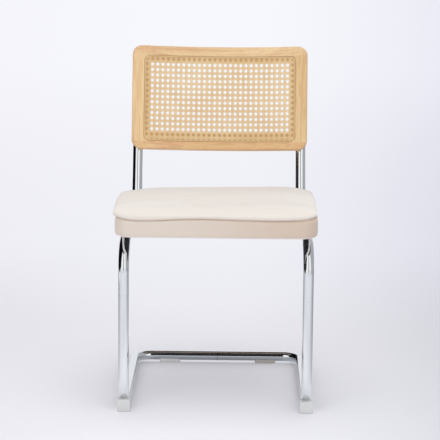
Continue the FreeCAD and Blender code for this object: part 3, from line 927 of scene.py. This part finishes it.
def make_seat_top():
    """The top cover over its wadding: domed, with a full soft lip that hangs over the seam."""
    top_height = 0.0191
    dome_share = 0.38
    lip = [(0.0045, SEAM_Z), (0.0014, SEAM_Z + 0.0020), (0.0002, SEAM_Z + 0.0055), (0.0002, SEAM_Z + 0.0095),
           (0.0018, SEAM_Z + 0.0125), (0.0060, SEAM_Z + 0.0145), (0.0130, SEAM_Z + 0.0155)]
    pad = seat_block("seat_top_cover", lip)
    use(pad, "REMESH", mode="VOXEL", voxel_size=0.0044)
    rise = (SEAT_HALF.x ** 2 + SEAT_HALF.y ** 2) / 2 / CROWN_R
    for vertex in pad.data.vertices:
        if vertex.co.z > SEAM_Z + 0.008:
            inside = soft_share(outline_inset(vertex.co.x, vertex.co.y), 0.008, 0.07)
            drop = (vertex.co.x ** 2 + (vertex.co.y - SEAT_MID_Y) ** 2) / 2 / CROWN_R
            vertex.co.z += (rise - drop) * inside * dome_share
    def limit(spot):
        return 0.0006 + 0.0022 * share(spot.z, SEAM_Z + 0.0005, SEAM_Z + 0.0045)
    puff(pad, limit)
    use(pad, "SMOOTH", factor=0.5, iterations=2)
    use(pad, "SUBSURF", levels=1, render_levels=1)
    fit_plan(pad, 0.2388, 0.2056, -0.0040)
    low, high = span(pad, 2)
    for vertex in pad.data.vertices:
        above = (vertex.co.z - low) * top_height / (high - low)
        above *= 1 - rear_wear(vertex.co.x, vertex.co.y)
        sway = seam_sway(vertex.co.x, vertex.co.y) * (1 - soft_share(above, 0.001, 0.013))
        vertex.co.z = SEAM_Z - 0.0004 + above + sway
    smooth(pad, 80)
    finish_piece(pad, MATERIALS["velvet"], "cover", "seat_cover_top")


def make_seat_band():
    """The boxed side cover, swelling a little between the seam and its turned-in lower edge."""
    low, top = SEAT_LOW + 0.0010, SEAM_Z - 0.0010
    inset, rounding, steps = 0.0010, 0.012, 5
    profile = []
    for i in range(steps + 1):
        angle = QUARTER * i / steps
        profile.append((inset + rounding * (1 - math.sin(angle)), low + rounding * (1 - math.cos(angle))))
    profile += [(inset, low + 0.025), (inset, top - 0.0050), (0.0018, top - 0.0020), (0.0042, top)]
    pad = seat_block("seat_side_cover", profile)
    use(pad, "REMESH", mode="VOXEL", voxel_size=0.0048)
    def limit(spot):
        side = 1 - share(outline_inset(spot.x, spot.y), 0.001, 0.013)
        tall = share(spot.z, low + 0.001, low + 0.013)
        return 0.0002 + 0.0024 * side * tall
    puff(pad, limit)
    use(pad, "SMOOTH", factor=0.5, iterations=2)
    use(pad, "SUBSURF", levels=1, render_levels=1)
    fit_plan(pad, 0.2376, 0.2040, -0.0007)
    bottom, crest = span(pad, 2)
    for vertex in pad.data.vertices:
        rise = (vertex.co.z - bottom) / (crest - bottom)
        sway = seam_sway(vertex.co.x, vertex.co.y) * soft_share(rise, 0.2, 1.0)
        vertex.co.z = low + rise * (top - low) + sway
    smooth(pad, 80)
    finish_piece(pad, MATERIALS["velvet_side"], "cover", "seat_cover_band")


def make_seam():
    """The sewn allowances in the joint, with a stitch pulled in every few millimetres."""
    inset, high, thick = 0.0052, 0.0022, 0.0022
    ring = seat_plan("seat_seam_fold", inset, SEAM_Z - 0.0018)
    bpy.ops.mesh.delete(type="ONLY_FACE")
    pick("EDGE", lambda e: e.calc_length() > 0.1)
    bpy.ops.mesh.subdivide(number_cuts=90)
    bpy.ops.mesh.select_all(action="SELECT")
    bpy.ops.mesh.extrude_edges_move(TRANSFORM_OT_translate={"value": (0, 0, high)})
    edit(False)
    use(ring, "SOLIDIFY", thickness=thick, offset=-1.0)
    use(ring, "BEVEL", width=0.0005, segments=2, angle_limit=math.radians(50))
    for vertex in ring.data.vertices:
        pull = 0.00025 * math.sin(900 * (vertex.co.x + vertex.co.y))
        vertex.co.z += seam_sway(vertex.co.x, vertex.co.y) + pull
    smooth(ring, 60)
    finish_piece(ring, MATERIALS["seam"], "cover", "seat_seam")


def make_dust_cover():
    """The thin black cloth under the seat, with its edge folded in short of the side cover. Inside
    the fold it is one layer, so it lies a little higher there."""
    thick, fold, step, rise = 0.0009, 0.011, 0.0006, 0.0004
    sheet = seat_plan("seat_dust_cloth", 0.0205, SEAT_LOW + thick)
    bpy.ops.mesh.extrude_region_move(TRANSFORM_OT_translate={"value": (0, 0, -thick)})
    bpy.ops.mesh.inset(thickness=fold)
    bpy.ops.mesh.inset(thickness=step)
    bpy.ops.transform.translate(value=(0, 0, rise))
    bpy.ops.mesh.select_all(action="SELECT")
    bpy.ops.mesh.normals_make_consistent(inside=False)
    edit(False)
    smooth(sheet, 30)
    finish_piece(sheet, MATERIALS["dust_cloth"], "dust_cloth", "seat_dust_cover")


def staple(where, turn):
    wire = fresh(bpy.ops.mesh.primitive_cube_add, size=1, location=where, rotation=(0, 0, turn))
    wire.scale = (0.009, 0.0011, 0.0006)
    place(wire)
    return wire


def make_staples():
    """Staples round the edge of the dust cover, none of them quite straight."""
    wires = []
    z = SEAT_LOW - 0.0001
    inset = 0.026
    askew = 0.12
    for i in range(9):
        x = -0.19 + i * 0.0475
        for side in (-1, 1):
            spot = (x, SEAT_MID_Y + side * (SEAT_HALF.y - inset), z)
            wires.append(staple(spot, askew * math.sin(i * 2.3)))
    for i in range(8):
        y = SEAT_MID_Y - 0.15 + i * 0.043
        for side in (-1, 1):
            spot = (side * (SEAT_HALF.x - inset), y, z)
            wires.append(staple(spot, QUARTER + askew * math.sin(i * 1.7)))
    row = together(wires, "dust_cover_staples")
    use(row, "BEVEL", width=0.0002, segments=1)
    finish_piece(row, MATERIALS["steel"], "fastener")


# Metal details


def turned_ring(name, where, axis_turn, radius, height, chamfer, sides=64):
    """A turned disc: a cylinder with its end edges chamfered."""
    fresh(bpy.ops.mesh.primitive_cylinder_add, vertices=sides, radius=radius, depth=height,
          location=where, rotation=axis_turn)
    ring = named(name)
    place(ring)
    edit(True)
    pick("FACE", lambda f: len(f.verts) > 4)
    bpy.ops.mesh.region_to_loop()
    bpy.ops.mesh.bevel(offset=chamfer, segments=2, profile=0.5)
    edit(False)
    return ring


def make_front_glides():
    """Milky saddles moulded round the front bends, higher in front than behind."""
    wide, front, tail, high, tail_high = 0.031, -0.009, 0.033, 0.0295, 0.022
    clearance = 0.00012
    glides = []
    for side in (-1, 1):
        glide = fresh(bpy.ops.mesh.primitive_cube_add, size=1, location=(0, (front + tail) / 2, high / 2))
        glide.scale = (wide, tail - front, high)
        place(glide)
        edit(True)
        bpy.ops.mesh.select_all(action="SELECT")
        bpy.ops.mesh.bisect(plane_co=(0, (front + tail) / 2, 0), plane_no=(0, 1, 0))
        pick("VERT", lambda v: v.co.z > high / 2 and v.co.y > tail - 0.001)
        bpy.ops.transform.translate(value=(0, 0, tail_high - high))
        edit(False)
        use(glide, "BEVEL", width=0.0016, segments=3, angle_limit=math.radians(40))
        bend = fresh(bpy.ops.mesh.primitive_torus_add, major_segments=128, minor_segments=64,
                     major_radius=BEND_R, minor_radius=TUBE_R + clearance,
                     location=(0, BEND_R, FLOOR_AXIS_Z + BEND_R), rotation=(0, QUARTER, 0))
        use(glide, "BOOLEAN", operation="DIFFERENCE", object=bend, solver="EXACT")
        bpy.data.objects.remove(bend)
        glide.location = (side * HALF_LEGS, -MID_Y, 0)
        glides.append(place(glide))
    pair = together(glides, "front_glide_saddles")
    smooth(pair, 30)
    finish_piece(pair, MATERIALS["clear"], "glide", "glide_front_left", "glide_front_right")


def make_joint_collars():
    """The collar of each leg's plug, whose chamfered edges show as two lines."""
    radius, chamfer = TUBE_R - 0.00002, 0.0002
    collars = []
    for side in (-1, 1):
        spot = (side * HALF_LEGS, -MID_Y, JOINT_Z + COLLAR_HIGH / 2)
        collars.append(turned_ring("collar", spot, (0, 0, 0), radius, COLLAR_HIGH, chamfer))
    rings = together(collars, "leg_joint_collars")
    smooth(rings, 15)
    finish_piece(rings, MATERIALS["chrome"], "collar", "leg_plugs")


def socket_screw(radius, high):
    """A low round head with a hexagon socket, pointing up Z from the origin."""
    head = turned_ring("screw_head", (0, 0, high / 2), (0, 0, 0), radius, high, high * 0.35, 40)
    key = fresh(bpy.ops.mesh.primitive_cylinder_add, vertices=6, radius=radius * 0.42, depth=high,
                location=(0, 0, high * 0.95))
    use(head, "BOOLEAN", operation="DIFFERENCE", object=key, solver="EXACT")
    bpy.data.objects.remove(key)
    return head


def bolt_places():
    """Where the bolt heads bear, and which way they look."""
    back_rises = (0.224, 0.362)
    seat_bolt_y, from_bend = 0.104, 0.034
    corner = Vector((0, RAIL_REACH - MID_Y, RAIL_Z))
    up = Vector((0, math.sin(LEAN), math.cos(LEAN)))
    back = Vector((0, math.cos(LEAN), -math.sin(LEAN)))
    bend = BACK_BEND_R * math.tan((QUARTER - LEAN) / 2)
    places = {"back_bolts": [], "seat_bolts": []}
    for side in (-1, 1):
        for rise in back_rises:
            bearing = corner + Vector((side * UPRIGHT_X, 0, 0)) + up * rise + back * TUBE_R
            places["back_bolts"].append((bearing, back))
        for y in (seat_bolt_y, RAIL_REACH - bend - from_bend):
            x = side * (HALF_LEGS - y * TOE_IN / RAIL_REACH)
            bearing = Vector((x, y - MID_Y, RAIL_Z - TUBE_R))
            places["seat_bolts"].append((bearing, Vector((0, 0, -1))))
    return places


def make_bolts():
    """Heads of the back bolts and of the seat bolts, with their sockets."""
    radius, high = 0.006, 0.0035
    for node, places in bolt_places().items():
        made = []
        for spot, outward in places:
            head = socket_screw(radius, high)
            head.rotation_euler = outward.to_track_quat("Z", "Y").to_euler()
            head.location = spot
            made.append(place(head))
        heads = together(made, node.replace("bolts", "bolt_heads"))
        smooth(heads, 30)
        finish_piece(heads, MATERIALS["steel"], "fastener", node)


def make_bar_seam():
    """The fine joint line where the two halves of the rear bar meet."""
    radius, wide, chamfer = TUBE_R + 0.00005, 0.0007, 0.0001
    line = turned_ring("rear_bar_joint", (0, BASE_Y, FLOOR_AXIS_Z), (0, QUARTER, 0), radius, wide, chamfer)
    smooth(line, 30)
    finish_piece(line, MATERIALS["black_plastic"], "black_plastic")


# Making it all


MATERIALS = {
    "chrome": surface("polished_chrome", chrome),
    "steel": surface("zinc_steel", steel),
    "brass": surface("turned_brass", brass),
    "wood_top": surface("beech_top_rail", wood_along("x", 0.0, (243, 213, 166), (235, 201, 153))),
    "wood_bottom": surface("beech_bottom_rail", wood_along("x", 2.3, (238, 202, 151), (228, 187, 134))),
    "wood_left": surface("beech_left_stile", wood_along("z", 4.1, (245, 217, 167), (238, 206, 155))),
    # Painted shade: the right stile darker, away from the light at the left.
    "wood_right": surface("beech_right_stile", wood_along("z", 6.6, (236, 206, 154), (226, 191, 138))),
    "cane": surface("peeled_cane", cane_skin),
    "reed": surface("split_reed", reed),
    # Painted shade on the rebate floor under the cane's border.
    "rebate_shade": surface("painted_shade_rebate_wood", rebate_shade_wood),
    "velvet": surface("cream_velvet_top", velvet(False)),
    "velvet_side": surface("cream_velvet_side", velvet(True)),
    "seam": surface("cream_seam", seam_cloth),
    "clear": surface("milky_plastic", milky_plastic),
    "black_plastic": surface("black_plastic", black_plastic),
    "plywood": surface("birch_plywood", plywood),
    "foam": surface("seat_foam", foam),
    "dust_cloth": surface("dust_cloth", dust_cloth),
}

NODE_MATERIALS = {
    "tube": "chrome", "collar": "chrome", "fastener": "steel", "plug": "steel", "insert": "brass",
    "glide": "clear", "black_plastic": "black_plastic", "board": "plywood", "foam": "foam",
    "cover": "velvet", "dust_cloth": "dust_cloth", "back_wood": "wood_top", "tenon_wood": "wood_top",
    "cane": "cane", "spline": "reed",
}

BOARD_MATERIALS = {
    "back_rail_bottom": "wood_bottom", "back_stile_left": "wood_left", "back_stile_right": "wood_right",
}


def dress_nodes():
    """Give each solid of the construction its own finish."""
    slots = {part["node"]: part["material_slot"] for part in frame["record"]["subparts"]}
    for name, obj in frame["nodes"].items():
        material = MATERIALS[BOARD_MATERIALS.get(name, NODE_MATERIALS[slots[name]])]
        for slot in obj.material_slots:
            slot.material = material
        if not obj.material_slots:
            obj.data.materials.append(material)


bpy.ops.object.select_all(action="DESELECT")
bpy.context.scene.view_settings.view_transform = "Standard"
set_camera()
set_floor()
set_world()
set_lamps()
dress_nodes()
make_cane()
make_spline()
make_rebate_shade()
make_seat_top()
make_seat_band()
make_seam()
make_dust_cover()
make_staples()
make_front_glides()
make_joint_collars()
make_bolts()
make_bar_seam()

bpy.context.view_layer.update()
